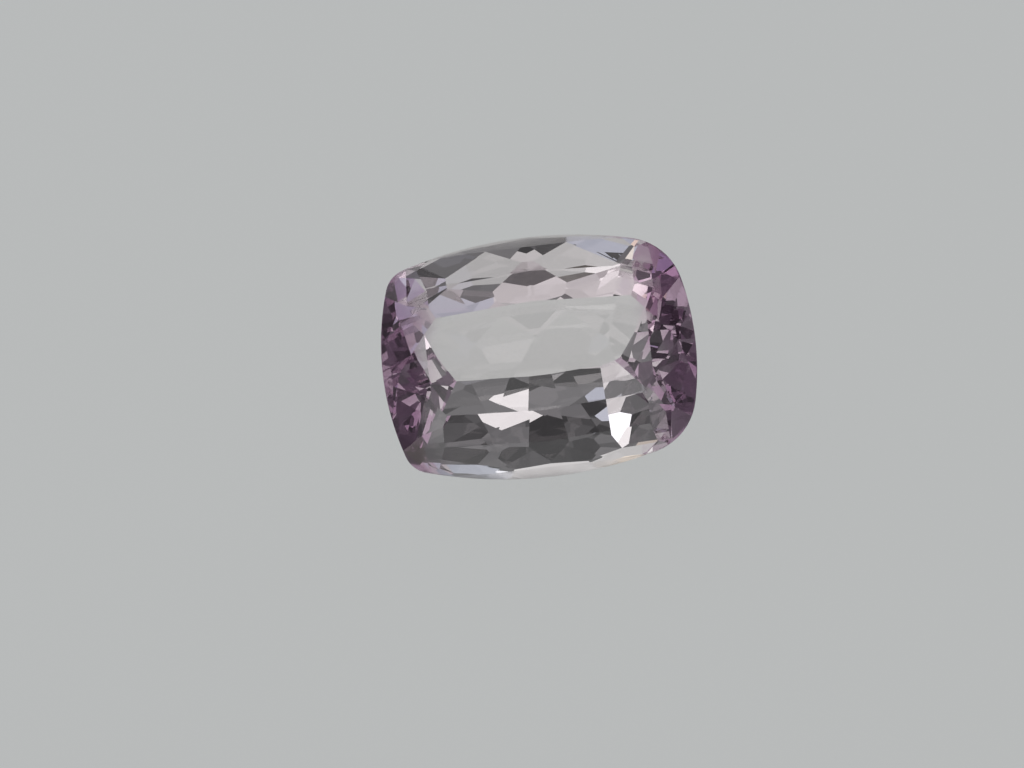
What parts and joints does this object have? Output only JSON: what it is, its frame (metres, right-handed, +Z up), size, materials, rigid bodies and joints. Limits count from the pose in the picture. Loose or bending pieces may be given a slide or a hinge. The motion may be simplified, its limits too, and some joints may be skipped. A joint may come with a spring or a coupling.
{
  "type": "cut kunzite gemstone",
  "caption": "Transparent pale lilac kunzite cut as a long cushion with a kite-faceted crown and a net-faceted pavilion, lying on one pavilion facet.",
  "frame": {"origin": "middle of the stone's bounding box, on the surface it lies on", "axes": "+X along the stone's length, +Z up, the table faces up and towards -Y"},
  "size_m": [0.013, 0.0082, 0.007],
  "materials": {
    "kunzite": "polished transparent kunzite, pale lilac pink, deeper along its length"
  },
  "bodies": {
    "root": {"kunzite_gemstone": "kunzite"}
  },
  "joints": []
}
